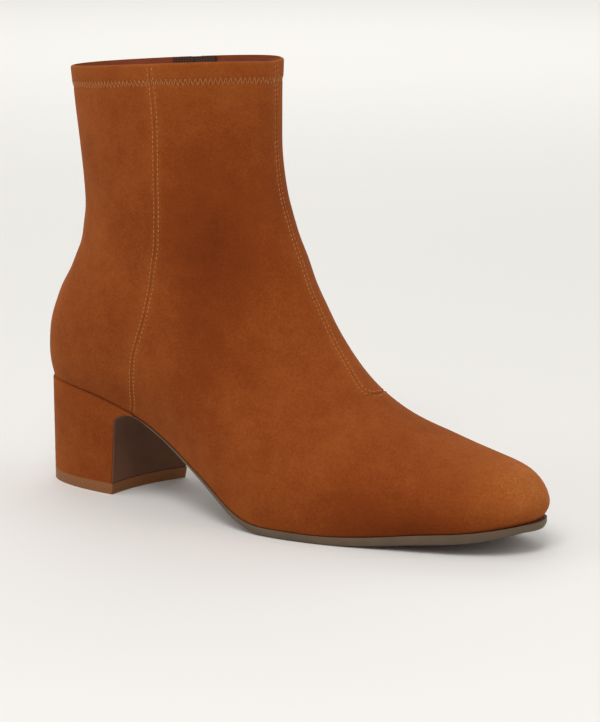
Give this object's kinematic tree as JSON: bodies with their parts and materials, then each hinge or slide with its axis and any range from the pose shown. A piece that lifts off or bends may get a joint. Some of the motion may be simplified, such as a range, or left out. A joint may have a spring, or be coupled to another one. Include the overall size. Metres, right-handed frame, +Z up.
{
  "type": "ankle bootie",
  "caption": "Right-foot tan suede ankle bootie with a suede-covered block heel, thin outsole, stitched seams and a medial zip.",
  "frame": {"origin": "floor under the middle of the boot's bounding box", "axes": "+X toward the toe, +Y toward the medial side, +Z up from the floor"},
  "size_m": [0.2504, 0.0818, 0.1938],
  "materials": {
    "suede": "napped suede",
    "sole_leather": "smooth matt",
    "lift_rubber": "smooth matt",
    "insole_board": "smooth matt",
    "zip_tape": "woven",
    "zip_metal": "satin"
  },
  "bodies": {
    "boot": {"upper": "suede", "outsole": "sole_leather", "heel_block": "suede", "heel_top_piece": "lift_rubber", "insole": "insole_board", "zip_tape": "zip_tape", "zip_teeth": "zip_metal", "zip_slider": "zip_metal"},
    "pull_tab": {"zip_pull": "zip_metal"}
  },
  "joints": [
    {"name": "pull_tab_hinge", "type": "hinge", "parent": "boot", "child": "pull_tab", "pos_m": [-0.0744, 0.03618, 0.18218], "axis": [0.9743, 0.2251, 0.0003], "range_deg": [0, 165]}
  ]
}
